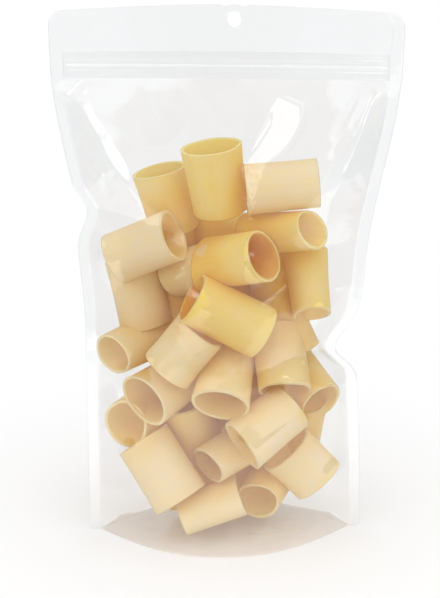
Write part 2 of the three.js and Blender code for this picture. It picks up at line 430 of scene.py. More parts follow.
class Tubes:
    """All tubes as arrays: centre, turn, length, round width, head width, tail width and tone."""

    def __init__(self, rows):
        rows = np.array(rows, float)
        self.centre = rows[:, [0, 2, 1]]
        self.turn = turns(rows[:, 3], rows[:, 4], rows[:, 5])
        self.length, self.round, self.head, self.tail, self.tone = rows[:, 6:11].T
        width = (self.head + self.tail) / 2
        depth = np.sqrt(2 * self.round**2 - width**2)
        self.half = np.stack([width, depth, self.length], -1) / 2

    def reach(self, x, z):
        """How far to the front and to the back the tubes reach at points of the front view.

        A line along Y meets a tube between the roots of its oval's quadratic, where that
        lies between its two flat ends. Where it meets none, the front reach lies far behind
        the back one, and so holds no film off."""
        start = np.stack([x, np.zeros_like(x), z], -1)[None] - self.centre[:, None, None]
        start = np.einsum("tjk,trcj->krct", self.turn, start)
        way = self.turn[:, 1, :].T[:, None, None]
        start = start / self.half.T[:, None, None]
        way = way / self.half.T[:, None, None]
        a = way[0] ** 2 + way[1] ** 2 + 1e-9
        b = start[0] * way[0] + start[1] * way[1]
        c = start[0] ** 2 + start[1] ** 2 - 1
        root = np.sqrt(np.maximum(0, b * b - a * c))
        along = np.where(np.abs(way[2]) < 1e-5, 1e-5, way[2])
        ends = np.sort(np.stack([(-1 - start[2]) / along, (1 - start[2]) / along]), 0)
        near = np.maximum((-b - root) / a, ends[0])
        far = np.minimum((-b + root) / a, ends[1])
        missed = (b * b <= a * c) | (near >= far)
        return np.where(missed, 999, near).min(-1), np.where(missed, -999, far).max(-1)


def crowding(tubes, points, places):
    """How much painted shade each point of the tubes' walls takes, from 0 to about 1, by how
    closely it is surrounded.

    Every other tube counts by a bell of its distance, and a tube's inside counts by how
    far it lies from the nearer mouth, as a share of half the length. The painted shade stands in
    for the shade and the warm bounced light between tubes and inside them."""
    total = np.zeros(points.shape[:3])
    for number in range(len(tubes.centre)):
        local = np.abs((points - tubes.centre[number]) @ tubes.turn[number])
        half = tubes.half[number]
        aside = (np.hypot(local[..., 0] / half[0], local[..., 1] / half[1]) - 1) * half[:2].mean()
        away = np.hypot(np.maximum(aside, 0), np.maximum(local[..., 2] - half[2], 0))
        share = bell(away, PAINTED_SHADE_REACH)
        share[number] = 0
        total += share
    # Painted shade inside a tube, growing with the depth from the nearer mouth.
    inside = wall_outline()[2][None, :, None] > 0.5
    buried = np.clip(1 - np.abs(places[..., 2]) / tubes.half[:, 2][:, None, None], 0, 1)
    within = inside * (PAINTED_SHADE_INSIDE + PAINTED_SHADE_BURIED * buried**0.7)
    return np.clip(PAINTED_SHADE_OUTSIDE * total + within, 0, 1)


def hidden_rows(count, random):
    """Rows for tubes behind the front ones: a jittered lattice at two depths, in random turns."""
    rise, step = np.divmod(np.arange(count), 3)
    x = (step - 1) * LATTICE_PITCH + random.uniform(-5, 5, count)
    z = LATTICE_FOOT + rise * LATTICE_RISE / rise.max() + random.uniform(-5, 5, count)
    y = np.where((rise + step) % 3 == 0, LATTICE_NEAR, LATTICE_FAR) + random.uniform(-3, 3, count)
    heading, lean, roll = (random.uniform(-span, span, count) for span in (180, 35, 90))
    length = random.normal(HIDDEN_LENGTH, 2.2, count).clip(34, 45)
    size = random.normal(HIDDEN_WIDTH, 0.8, count)
    head = size + random.uniform(-3, 3, count)
    tone = random.uniform(0, 0.7, count)
    return np.stack([x, z, y, heading, lean, roll, length, size, head, size, tone], -1)


def neighbours(tubes, hold):
    """Pairs of tubes whose middles are near each other, and the first one's share of a push.

    That share is the other's hold, divided by the sum of both."""
    away = np.linalg.norm(tubes.centre[:, None] - tubes.centre[None], axis=-1)
    one, two = np.nonzero((away < NEIGHBOUR_REACH) & (away > 0))
    return one, two, (hold[two] / (hold[one] + hold[two]))[:, None, None]


def spun(turn, spin):
    """Rotation matrices after a small spin about three axes, made square again by a QR split."""
    turned = turn + np.cross(spin[:, None], turn.transpose(0, 2, 1)).transpose(0, 2, 1)
    square, triangle = np.linalg.qr(turned)
    return square * np.sign(np.diagonal(triangle, axis1=1, axis2=2))[:, None]


def overlaps(tubes, points, one, two):
    """How points of the tubes one lie in the tubes two: from two's middle, how deep, and the way out.

    A tube is an oval cylinder, and the way out is the shorter of those through its side
    and its end, times the depth."""
    gap = points[one] - tubes.centre[two][:, None]
    local = np.einsum("pmj,pjk->pmk", gap, tubes.turn[two])
    half = tubes.half[two][:, None]
    share = local / half
    inward = (1 - np.hypot(share[..., 0], share[..., 1])) * half[..., :2].mean(-1)
    endward = (1 - np.abs(share[..., 2])) * half[..., 2]
    overlap = np.maximum(0, np.minimum(inward, endward))
    side = share[..., :2] / half[..., :2]
    side = side / (np.linalg.norm(side, axis=-1, keepdims=True) + 1e-9)
    by_side = (inward < endward)[..., None]
    way = np.concatenate([side * by_side, np.sign(local[..., 2:]) * ~by_side], -1)
    push = np.einsum("pmk,pjk->pmj", way, tubes.turn[two]) * overlap[..., None]
    return gap, overlap, push


def push_apart(tubes, hold, rounds=260):
    """Moves and turns tubes until they hardly run into each other, and not into the film or the base.

    Points on each tube are tested against its neighbours, and one that lies inside a
    neighbour is pushed out. The two tubes share the push, as a shift and a turn, by how
    firmly each holds its place. Tubes that show keep to their places in the front view,
    so of two such tubes the deeper one also moves back. Hidden tubes sink."""
    around, along = np.meshgrid(np.linspace(0, 2 * np.pi, 11)[1:], np.linspace(-1, 1, 4))
    test = np.stack([np.cos(around), np.sin(around), along], -1).reshape(-1, 3)
    home, order = tubes.centre.copy(), tubes.centre[:, 1].copy()
    count = len(home)
    seen = hold > HIDDEN_HOLD
    for step in range(rounds):
        if step % 10 == 0:
            one, two, give = neighbours(tubes, hold)
        lever = np.einsum("tmk,tjk->tmj", test * tubes.half[:, None], tubes.turn)
        points = lever + tubes.centre[:, None]
        gap, overlap, push = overlaps(tubes, points, one, two)
        between = tubes.centre[one] - tubes.centre[two]
        distance = np.linalg.norm(between, axis=-1, keepdims=True) + 1e-6
        nested = np.maximum(0, LEAST_DISTANCE - distance) * between / distance * 2
        nested[seen[one] & seen[two]] = 0
        shift, twist, touches = np.zeros((count, 3)), np.zeros((count, 3)), np.ones(count)
        np.add.at(shift, one, (give * push).sum(1) + give[:, 0] * nested)
        np.add.at(shift, two, ((give - 1) * push).sum(1) + (give[:, 0] - 1) * nested)
        np.add.at(twist, one, (give * np.cross(lever[one], push)).sum(1))
        np.add.at(twist, two, ((give - 1) * np.cross(gap, push)).sum(1))
        deeper = np.sign(order[one] - order[two]) * (seen[one] & seen[two])
        retreat = RETREAT_SHARE * deeper * np.maximum(0, overlap - 1).sum(1)
        np.add.at(shift[:, 1], one, retreat)
        np.add.at(shift[:, 1], two, -retreat)
        hits = (overlap > 0).sum(1) * 0.5
        np.add.at(touches, one, hits)
        np.add.at(touches, two, hits)
        wall = wall_push(points, seen)
        twist += np.cross(lever, wall).sum(1)
        shift = TUBE_SHARE * shift / touches[:, None] + WALL_SHARE * (wall.max(1) + wall.min(1))
        shift[:, [0, 2]] *= 1 - 0.5 * hold[:, None]
        sinks = ~seen * (step < rounds * 0.6)
        shift[:, 2] -= VIEW_SLOPE * shift[:, 1] * seen + SINK_STEP * sinks
        tubes.centre += shift
        home[:, 2] -= VIEW_SLOPE * shift[:, 1]
        back = (home - tubes.centre) * (HOME_SHARE * seen)[:, None]
        tubes.centre[:, [0, 2]] += back[:, [0, 2]]
        spin = SPIN_SHARE * (1 - hold)[:, None] ** 2 * twist / touches[:, None] / SPIN_LEVER
        tubes.turn = spun(tubes.turn, np.clip(spin, -LARGEST_SPIN, LARGEST_SPIN))


def wall_push(points, seen):
    """How far points outside the film, below the base or outside the pile have to move to be back inside.

    The film pushes along its slope. Hidden tubes also keep to a pile that shows from the
    front as narrower towards the base, and lower than the front tubes' top. All pushes
    but the base's are kept to a few millimetres."""
    x, y, z = np.moveaxis(points, -1, 0)
    seam = seam_depth(x, z)
    room = np.minimum(belly(x, z) + FILM_GIVE * (np.abs(x) < GIVE_REACH), DEEPEST)
    over = np.maximum(0, np.abs(y - seam) - room)
    slope = (belly(x + 1, z) - belly(x - 1, z)) / 2
    back_in = np.minimum(over / (1 + slope**2), 4)
    below = np.maximum(0, PILE_FOOT - z)
    seen_height = z + VIEW_SLOPE * y
    wide = np.abs(x) - PILE_NARROW - PILE_WIDENING * smooth_step(seen_height, -5, 75)
    beside = np.clip(wide, 0, 3) * ~seen[:, None]
    above = np.clip(seen_height - HIDDEN_TOP, 0, 3) * ~seen[:, None]
    sideways = slope * back_in * ~seen[:, None] - np.sign(x) * beside
    behind = np.clip(HIDDEN_FRONT - y, 0, 2) * ~seen[:, None]
    return np.stack([sideways, behind - np.sign(y - seam) * back_in, below - above], -1)


@functools.cache
def packed_tubes(hidden, seed):
    """The front tubes and the hidden ones, pushed apart inside the film."""
    random = np.random.default_rng(seed)
    tubes = Tubes(np.concatenate([np.array(FRONT_TUBES, float), hidden_rows(hidden, random)]))
    shown = np.arange(len(tubes.centre)) < len(FRONT_TUBES)
    firm = (tubes.centre[:, 1] < FIRM_FRONT) | (tubes.centre[:, 2] > FIRM_TOP)
    push_apart(tubes, np.where(~shown, HIDDEN_HOLD, np.where(firm, FIRM_HOLD, LOOSE_HOLD)))
    return tubes


def wall_outline():
    """A tube wall's closed outline: places along it from -1 to 1, how far its rim rounds back,
    and how deep in the wall, from 0 outside to 1 inside.

    Places follow a sine, which brings them close together near the ends, so rims shade
    crisply. The rims are superellipses."""
    along = np.sin(np.linspace(-np.pi / 2, np.pi / 2, TUBE_COUNT_ALONG))
    turn = np.linspace(0, np.pi, TUBE_COUNT_RIM + 2)[1:-1]
    round_off = 1 - np.sin(turn) ** 0.5
    through = 0.5 - 0.5 * np.sign(np.cos(turn)) * np.abs(np.cos(turn)) ** 0.5
    level, end = np.zeros_like(along), np.ones_like(turn)
    places = np.concatenate([along, end, along[::-1], -end])
    back = np.concatenate([level, round_off, level, round_off])
    depth = np.concatenate([level, through, level + 1, through[::-1]])
    return places, back, depth


def tube_points(tubes, wall, random):
    """All tubes' walls as an array of tube, outline point, point around and axis, with each
    point's place in its own tube. Each section is an oval whose width goes from tail to
    head at constant girth, with lobes of two, three and five that drift along the tube.
    The ends are cut a little askew, and the axis sags in an arc."""
    count = len(tubes.centre)
    places, back, depth = (part[None, :, None] for part in wall_outline())
    angle = np.linspace(0, 2 * np.pi, TUBE_COUNT_AROUND, endpoint=False)[None, None, :]

    def spread(low, high):
        return random.uniform(low, high, count)[:, None, None]

    tail, head = tubes.tail[:, None, None], tubes.head[:, None, None]
    girth, length = tubes.round[:, None, None], tubes.length[:, None, None]
    width = tail + (head - tail) * (places + 1) / 2
    lobes = 1 + spread(-0.02, 0.02) * places * np.cos(2 * angle + spread(0, 6.3))
    lobes = lobes + spread(0.004, 0.022) * np.cos(3 * angle + spread(0, 6.3) + 0.6 * places)
    lobes = lobes + spread(0, 0.01) * np.cos(5 * angle + spread(0, 6.3) - 0.8 * places)
    lobes = lobes * (1 + spread(0.0, 0.025) * places**2)
    skin = wall * (1 + 0.12 * np.cos(angle + spread(0, 6.3)))
    across = (width / 2 * lobes - depth * skin) * np.cos(angle)
    narrow = (np.sqrt(2 * girth**2 - width**2) / 2 * lobes - depth * skin) * np.sin(angle)
    skew = spread(-0.9, 0.9) * np.cos(angle + spread(0, 6.3)) + spread(-0.3, 0.3) * np.cos(2 * angle)
    along = places * (length / 2) - np.sign(places) * (0.55 * back - skew * np.abs(places) ** 3)
    narrow = narrow + spread(-1.0, 1.0) * (places**2 - 0.4)
    local = np.stack(np.broadcast_arrays(across, narrow, along), -1)
    world = np.einsum("tpac,tkc->tpak", local, tubes.turn) + tubes.centre[:, None, None, :]
    return world, local


def make_pasta(settings, material):
    """One mesh of all the tubes, with what their material needs to know at each point.

    That is the point's place in its tube, the tube's tone and grain, how deep in the wall
    the point lies and how closely it is surrounded, which sets how much painted shade it takes."""
    tubes = packed_tubes(settings.hidden, settings.seed)
    random = np.random.default_rng(settings.seed + 1)
    points, places = tube_points(tubes, settings.wall / MM, random)
    count, rows, columns, _ = points.shape
    faces = grid_faces(rows, columns, True, True)
    faces = faces[None] + np.arange(count)[:, None, None] * rows * columns
    shape = (count, rows, columns)
    tone = np.broadcast_to(tubes.tone[:, None, None], shape)
    grain = np.broadcast_to(random.uniform(0, 1, count)[:, None, None] ** 2, shape)
    depth = np.broadcast_to(wall_outline()[2][None, :, None], shape)
    # How much painted shade each point takes where tubes lie close and deep inside them.
    painted_crowd_shade = crowding(tubes, points, places)
    places = places + np.arange(count)[:, None, None, None] * PATTERN_STEP
    attributes = {
        "place_in_tube": places.reshape(-1, 3),
        "tone": tone.ravel(),
        "grain": grain.ravel(),
        "depth_in_wall": depth.ravel(),
        "crowding": painted_crowd_shade.ravel(),
    }
    points, faces = points.reshape(-1, 3), faces.reshape(-1, 4)
    return add_piece("pasta_tubes", points, faces, material, attributes)


def pasta_material(settings):
    """Dry durum pasta: satin, streaked along the tube, paler where floury, with painted light and
    shade on the tubes' insides.

    The pasta takes a warm painted shade where tubes lie close and deep inside them, and lets
    some light through. That light meets a pale core on its way out of the wall, which is where
    the mesh is seen from within."""
    shader = Shader("dry_durum_pasta")
    place = shader.attribute("place_in_tube", "Vector")
    tone, grain = shader.attribute("tone"), shader.attribute("grain")
    depth = shader.attribute("depth_in_wall")
    inside = shader.ramp(depth, 0.4, 0.85)
    streaks = shader.noise(shader.scaled(place, (0.9, 0.9, 0.07)), 1.0, 3.0)
    clouds = shader.noise(place, 0.09, 2.0)
    flecks = shader.noise(place, 1.3, 3.0, 0.65)
    cloudy = shader.ramp(tone + (clouds - 0.5) * 0.9, 0.0, 1.0)
    body = shader.mix(cloudy, opaque(settings.colour), opaque(settings.pale))
    body = shader.mix(shader.ramp(streaks, 0.4, 0.65) * 0.55, body, opaque(settings.streak))
    floury = shader.ramp(flecks + grain * 0.18, 0.52, 0.75) * (0.08 + 0.3 * tone)
    body = shader.mix(floury, body, opaque(settings.flour))
    # Painted light and shade: a tube's inside takes brighter or deeper colours than its outside, standing in
    # for the light that falls in and bounces there.
    stops = ((0.0, settings.painted_inside_deep), (0.1, settings.inside), (0.6, settings.painted_inside_pale))
    deep = shader.node("ShaderNodeValToRGB", {"stops": stops}, {"Fac": tone})
    body = shader.mix(inside * 0.85, body, deep)
    rim = shader.ramp(depth, 0.02, 0.2) * (1 - shader.ramp(depth, 0.5, 0.8))
    body = shader.mix(rim * 0.6, body, opaque(settings.flour))
    # Painted shade: a warm colour multiplied in where tubes lie close and deep inside them, standing in for
    # shade and bounced light there; less on rims and on pale tubes.
    painted_shade_share = shader.attribute("crowding") * (1 - 0.8 * rim) * (1 - 0.45 * tone)
    body = shader.mix(painted_shade_share, body, opaque(settings.shade), "MULTIPLY")
    within = shader.node("ShaderNodeNewGeometry", output="Backfacing")
    body = shader.mix(within, body, opaque(settings.core))
    height = streaks * 0.5 + flecks * (0.25 + grain * 0.5)
    surface = shader.node(
        "ShaderNodeBsdfPrincipled",
        inputs={
            "Base Color": body,
            "Roughness": 0.42 + floury * 0.5,
            "Specular IOR Level": 0.2,
            "Subsurface Weight": 0.1,
            "Subsurface Radius": (1.0, 0.9, 0.8),
            "Subsurface Scale": 0.0015,
            "Normal": shader.bump(height, 0.0004, 0.9),
        },
        output="BSDF",
    )
    glow = shader.node("ShaderNodeBsdfTranslucent", inputs={"Color": (1.0, 0.88, 0.6, 1)})
    return shader.finish(shader.node("ShaderNodeMixShader", inputs={0: 0.3, 1: surface, 2: glow}))


# ---- The film and the zip ----

CLOSE_ROWS_FOOT, CLOSE_ROWS_TOP = 275.0, 292.5  # rows lie close together here, across the zip
FILM_HEIGHTS = np.concatenate(
    [
        CORNER_FOOT * (1 - np.cos(np.linspace(0, np.pi / 2, 5)))[:-1],
        np.linspace(CORNER_FOOT, CLOSE_ROWS_FOOT, 206)[:-1],
        np.linspace(CLOSE_ROWS_FOOT, CLOSE_ROWS_TOP, 29)[:-1],
        np.linspace(CLOSE_ROWS_TOP, HEIGHT - CORNER_TOP, 12)[:-1],
        HEIGHT - CORNER_TOP * (1 - np.sin(np.linspace(0, np.pi / 2, 9))),
    ]
)
# Columns of half a panel: 0 to 1 up to the crease, to 2 up to the seal, to 3 across it.
FILM_COLUMNS = np.concatenate(
    [np.linspace(0, 1, 53)[1:], np.linspace(1, 2, 33)[1:], np.linspace(2, 3, 5)[1:]]
)
# The zip's ribs: height, half width and rise.
RIBS = ((RIB_HEIGHT, 1.6, 0.9), (RIB_HEIGHT - 3.6, 0.8, 0.25), (RIB_HEIGHT + 3.4, 0.8, 0.2))
# The flat strip along a shoulder crease: its depth under the crease by height, its share of
# that left and right, its slope, and where it starts, as a height and a share of the crease.
CREASE_DEPTHS = ((203, 0.3), (219, 1.9), (237, 2.0), (251, 1.3), (268, 0.8), (276, 0))
CREASE_CUT = {-1: 1.0, 1: 0.5}
CREASE_SLOPE = 0.38
CREASE_FOOT, CREASE_INNER = 203, 0.8
# Straight folds of the front panel: start x, z, end x, z, half width and height.
FRONT_FOLDS = (
    (-80, 276, -89, 259, 2.6, 1.6),
    (24, 273, 45, 265, 3.0, 1.4),
    (84, 262, 30, 236, 12.0, 1.6),
    (92, 270, 90, 222, 3.0, 1.5),
    (96, 258, 88, 215, 2.2, 0.9),
    (-31, 168, -20, 177, 1.6, 1.0),
    (20, 155, 36, 167, 1.4, 1.0),
    (62, 157, 76, 155, 2.4, 1.2),
    (-4, 17, 36, 10, 1.8, 0.9),
    (-18, 12, 22, 7, 1.6, 0.7),
    (-78, 214, -62, 232, 3.0, 0.8),
    (-70, 205, -58, 216, 2.5, 0.7),
)
BACK_FOLDS = (
    (80, 276, 62, 236, 3.0, 1.5),
    (-20, 274, 8, 232, 6.0, 1.6),
    (-50, 272, -36, 240, 4.0, 1.2),
    (-30, 150, 4, 164, 2.0, 1.0),
    (18, 92, 44, 104, 2.0, 0.9),
    (-20, 14, 26, 10, 2.0, 0.8),
)
# The flat facet below the zip: its outline as height, middle and half width, its slope, and
# the x and the two heights where it is level with the panel.
FACET_OUTLINE = (
    (206, 14, 1),
    (219, 15, 4),
    (232, 17, 7.5),
    (236, 22, 9.5),
    (243, 28, 10),
    (253, 34.5, 9.5),
    (263, 36, 8.5),
    (270, 29, 1),
)
FACET_LEAN, FACET_X = 0.2, 27.0
FACET_FOOT, FACET_TOP = 210.0, 266.0
# Where the film is slack and crumpled: x, z, reach and height.
SLACK_PATCHES = ((77, 218, 10, 1.3), (-74, 217, 11, 0.8), (91, 240, 14, 0.8), (-84, 255, 12, 0.9))
HOLE_COLUMNS, HOLE_ROWS = 2, 3  # half the block of grid faces that the hang hole takes
HOLE_REACH = 2.6  # how far off, in half blocks, the grid is no longer moved for it
EASING_ROUNDS = 160  # how often the film is eased over the tubes
CLEARANCE, ZIP_CLEARANCE = 0.35, 0.06  # between the film and the tubes, and the film and the zip
BOX_MARGIN = 0.05  # between the film and the frame's box


def film_grid():
    """X and z of the film's grid points: each row has one height, and columns keep to creases and seals."""
    z = FILM_HEIGHTS[:, None]
    parts = []
    for side in (-1, 1):
        inner = half_width(side, z) - SEAL_WIDTH - corner_cut(z)
        crease = crease_share(side, z)
        shares = crease * np.clip(FILM_COLUMNS, 0, 1) + (1 - crease) * np.clip(FILM_COLUMNS - 1, 0, 1)
        parts.append(side * (inner * shares + SEAL_WIDTH * np.clip(FILM_COLUMNS - 2, 0, 1)))
    x = np.hstack([parts[0][:, ::-1], np.zeros_like(z), parts[1]])
    return x, np.broadcast_to(z, x.shape)


def fold(x, z, start_x, start_z, end_x, end_z, width, height):
    """A straight ridge: a tent across its line and a smooth arch along it."""
    length = math.hypot(end_x - start_x, end_z - start_z)
    way_x, way_z = (end_x - start_x) / length, (end_z - start_z) / length
    along = ((x - start_x) * way_x + (z - start_z) * way_z) / length
    off = np.abs((x - start_x) * way_z - (z - start_z) * way_x)
    return height * np.maximum(0, 1 - off / width) * np.sin(np.pi * np.clip(along, 0, 1))


def crumple(x, z, size, seed, waves=8):
    """Crisp little facets between -1 and 1: triangle waves in random directions, each bent by a slow sine."""
    random = np.random.default_rng(seed)
    total = 0
    for angle, phase, stretch in random.uniform(0, 1, (waves, 3)):
        across = (x * math.cos(6.28 * angle) + z * math.sin(6.28 * angle)) / size
        along = (z * math.cos(6.28 * angle) - x * math.sin(6.28 * angle)) / size
        place = across * (0.6 + 0.8 * stretch) + 5 * phase + 0.5 * np.sin(0.9 * along + 9 * phase)
        total = total + 2 * np.abs(place % 2 - 1) - 1
    return total / math.sqrt(waves)


def zip_half(x, z):
    """How thick half of the zip is: a thin tape with round ribs, pressed flat at its ends."""
    whole = 1 - smooth_step(np.abs(x), TAPE_HALF_LENGTH - 6, TAPE_HALF_LENGTH)
    tape = 0.2 * whole * smooth_step(z, TAPE_FOOT, TAPE_FOOT + 2)
    tape = tape * (1 - smooth_step(z, TAPE_TOP - 1.2, TAPE_TOP))
    for height, width, rise in RIBS:
        tape = tape + rise * whole * np.sqrt(np.maximum(0, 1 - ((z - height) / width) ** 2))
    return tape


def flat_crease(x, z, gap):
    """The gap with each shoulder crease cut off by a flat strip: never above a line across it.

    The line falls outwards by a fixed slope, and it passes a little under the crease."""
    side = np.where(x < 0, -1, 1)
    inner = np.where(x < 0, half_width(-1, z), half_width(1, z)) - SEAL_WIDTH
    crease = np.where(x < 0, crease_share(-1, z), crease_share(1, z)) * inner
    under = np.interp(z, *zip(*CREASE_DEPTHS))
    under = under * np.where(side < 0, CREASE_CUT[-1], CREASE_CUT[1])
    line = (1 - CREASE_DROP) * belly_depth(z) - under - CREASE_SLOPE * (np.abs(x) - crease)
    cut = (z > CREASE_FOOT) & (np.abs(x) > crease * CREASE_INNER)
    return np.where(cut, np.minimum(gap, line), gap)


def glare_facet(x, z, gap):
    """The gap with a flat facet: inside a bent outline it becomes a plane that leans to the right."""
    heights, middles, halves = zip(*FACET_OUTLINE)
    middle = np.interp(z, heights, middles)
    half = np.interp(z, heights, halves)
    beside = np.interp(np.abs(x - middle) / half, (1, 1.2), (1, 0))
    share = beside * ((z > heights[0] - 2) & (z < heights[-1] + 2))
    low, high = (belly(np.full(1, FACET_X), np.full(1, level))[0] for level in (FACET_FOOT, FACET_TOP))
    plane = low + (high - low) * (z - FACET_FOOT) / (FACET_TOP - FACET_FOOT) - FACET_LEAN * (x - FACET_X)
    return gap + share * (plane - gap)


def eased(slack, least):
    """A grid that starts slack and is never below least.

    Each round draws its points most of the way to the mean of their four neighbours, and
    a little back to slack."""
    moved = np.maximum(slack, least)
    for _ in range(EASING_ROUNDS):
        mean = (moved[:-2, 1:-1] + moved[2:, 1:-1] + moved[1:-1, :-2] + moved[1:-1, 2:]) / 4
        moved[1:-1, 1:-1] += 0.9 * (mean - moved[1:-1, 1:-1]) + 0.004 * (slack - moved)[1:-1, 1:-1]
        moved = np.maximum(moved, least)
    return moved


def film_relief(way, x, z, gap, settings):
    """How high a panel's crumples, slack patches and folds stand: their sum, less near the seals."""
    relief = settings.crumple / MM * crumple(x, z, size=16, seed=5 + way) * smooth_step(gap, 0.5, 12)
    for number, (patch_x, patch_z, reach, height) in enumerate(SLACK_PATCHES):
        patch = bell(np.hypot(x + way * patch_x, z - patch_z), reach)
        relief = relief + height * 0.5 * patch * (1 + crumple(x, z, size=5, seed=20 + number + way))
    for line in FRONT_FOLDS if way < 0 else BACK_FOLDS:
        relief = relief + fold(x, z, *line)
    return relief * smooth_step(gap, 0.2, 2.5)


def film_gap(way, x, z, tubes, settings):
    """How far a panel's inner face lies from the seam: the belly, hung over the tubes and the zip.

    The film starts slack by a set sag and is eased over the tubes, folds go on last, and
    neither lets a tube through."""
    gap = belly(x, z)
    seam = seam_depth(x, z)
    near, far = tubes.reach(x, z)
    contents = (seam - near if way < 0 else far - seam) + CLEARANCE
    limit = (seam - LOW[1] if way < 0 else HIGH[1] - seam) - settings.film / MM - BOX_MARGIN
    gap = flat_crease(x, z, gap)
    filled = smooth_step(z, 2, 16) * (1 - smooth_step(z, 205, 232)) * smooth_step(gap, 2, 16)
    moved = eased(-settings.sag / MM * filled, np.maximum(contents - gap, -0.98 * gap))
    gap = gap + moved + film_relief(way, x, z, gap, settings)
    if way < 0:
        gap = glare_facet(x, z, gap)
    gap = np.maximum(gap, contents)
    gap = np.maximum(gap, zip_half(x, z) + ZIP_CLEARANCE)
    return np.minimum(gap, limit)


def bored(x, z):
    """The grid moved so that a block of it becomes the round hang hole, and which faces are kept.

    Points on the block's edge go onto the circle, and the shift dies out further away."""
    centre_x, centre_z, radius = HANG_HOLE
    centre_z = centre_z - arch_lift(centre_x, centre_z - ARCH_RISE)
    level = x[-12]  # a row of the header
    columns = np.abs(level - centre_x).argmin() + np.array([-HOLE_COLUMNS, HOLE_COLUMNS])
    rows = np.abs(z[:, 0] - centre_z).argmin() + np.array([-HOLE_ROWS, HOLE_ROWS])
    middle_x, middle_z = level[columns].mean(), z[rows, 0].mean()
    half_x, half_z = np.ptp(level[columns]) / 2, np.ptp(z[rows, 0]) / 2
    right, up = (x - middle_x) / half_x, (z - middle_z) / half_z
    square = np.maximum(np.abs(right), np.abs(up))
    round_ = np.hypot(right, up) + 1e-9
    drawn = 1 - smooth_step(square, 1, HOLE_REACH)
    circle_x = centre_x + radius * square * right / round_
    circle_z = centre_z + radius * square * up / round_
    kept = np.ones((x.shape[0] - 1, x.shape[1] - 1), bool)
    kept[rows[0] : rows[1], columns[0] : columns[1]] = False
    return x + (circle_x - x) * drawn, z + (circle_z - z) * drawn, kept


def place_on_seam(x, z, offset):
    """Points of the pouch at an offset from its seam, under the header's arch."""
    return np.stack([x, seam_depth(x, z) + offset, z + arch_lift(x, z)], -1)


def make_panel(way, tubes, settings, material):
    """The front (way -1) or back (way 1) panel of film as a thin wall."""
    flat_x, flat_z = film_grid()
    gap = film_gap(way, flat_x, flat_z, tubes, settings)
    x, z, kept = bored(flat_x, flat_z)
    inner = place_on_seam(x, z, way * gap)
    outer = place_on_seam(x, z, way * (gap + settings.film / MM))
    if way > 0:  # columns the other way round, so that faces point outwards here too
        inner, outer, kept = inner[:, ::-1], outer[:, ::-1], kept[:, ::-1]
    points, faces = thin_wall(outer, inner, kept)
    return add_piece("film_front" if way < 0 else "film_back", points, faces, material)


def make_base(settings, material):
    """The gusset the pouch stands on: a boat between the panels' feet that rises towards the side seals.

    Its rise falls off by a sixth power from its middle line to the panels, and grows by a
    sixth power towards its ends."""
    across = np.linspace(-1, 1, 121)[None, :]
    t = np.linspace(-1, 1, 61)[:, None]
    t = np.sin(t * np.pi / 2) * 0.4 + t * 0.6
    x = across * (BODY_WIDTH / 2 - SEAL_WIDTH - BASE_INSET) + 0 * t
    inside = belly(x, 0 * x)
    rise = np.minimum(GUSSET_RISE + BOAT_RISE * across**6, 0.5 * inside)
    z = BASE_FOOT + rise * (1 - np.abs(t) ** 6)
    wrinkle = 0.35 * crumple(x, 60 * t, size=11, seed=3) * (1 - t**4) * smooth_step(inside, 3, 20)
    z = np.maximum(z + wrinkle, BASE_FOOT)
    y = seam_depth(x, z) + t * (belly(x, z) - BASE_CLEARANCE)
    top, bottom = (np.stack([x, y, z + lift], -1) for lift in (settings.film / MM, 0.0))
    points, faces = thin_wall(top, bottom)
    return add_piece("film_base", points, faces, material)


def make_zip_strip(way, material):
    """One of the zip's two strips: a tape with its ribs, between the seam and the film."""
    z = np.linspace(TAPE_FOOT, TAPE_TOP, 61)[:, None]
    x = np.linspace(-TAPE_HALF_LENGTH, TAPE_HALF_LENGTH, 141)[None, :]
    x, z = np.broadcast_arrays(x, z)
    outer = place_on_seam(x, z, way * (0.04 + 0.97 * zip_half(x, z)))
    inner = place_on_seam(x, z, way * 0.02)
    if way > 0:  # columns the other way round, so that faces point outwards here too
        inner, outer = inner[:, ::-1], outer[:, ::-1]
    points, faces = thin_wall(outer, inner)
    return add_piece("zip_front" if way < 0 else "zip_back", points, faces, material)


def film_material(settings, name, haze, tint):
    """Clear film: see-through, with a faint haze and a gloss.

    The gloss grows by the fifth power of how far the film turns away from the eye."""
    shader = Shader(name)
    place = shader.node("ShaderNodeTexCoord", output="Object")
    facing = shader.node("ShaderNodeLayerWeight", inputs={"Blend": 0.5}, output="Facing")
    gloss = settings.reflect + (1 - settings.reflect) * facing**5
    smudges = shader.ramp(shader.noise(place, 28, 3.0), 0.3, 0.75)
    clear = shader.node("ShaderNodeBsdfTransparent", inputs={"Color": opaque(tint)})
    ripples = shader.noise(place, 70, 2.0) + 0.3 * shader.noise(place, 320, 1.0)
    mirror = shader.node(
        "ShaderNodeBsdfPrincipled",
        inputs={
            "Base Color": (0.8, 0.8, 0.8, 1),
            "Metallic": 1.0,
            "Roughness": settings.roughness,
            "Normal": shader.bump(ripples, 0.0003, 0.6),
        },
        output="BSDF",
    )
    milk = shader.node("ShaderNodeBsdfDiffuse", inputs={"Color": (1, 1, 1, 1)}, output="BSDF")
    hazy = shader.node("ShaderNodeMixShader", inputs={0: haze * (0.5 + smudges), 1: clear, 2: milk})
    return shader.finish(shader.node("ShaderNodeMixShader", inputs={0: gloss, 1: hazy, 2: mirror}))


# ---- The studio ----

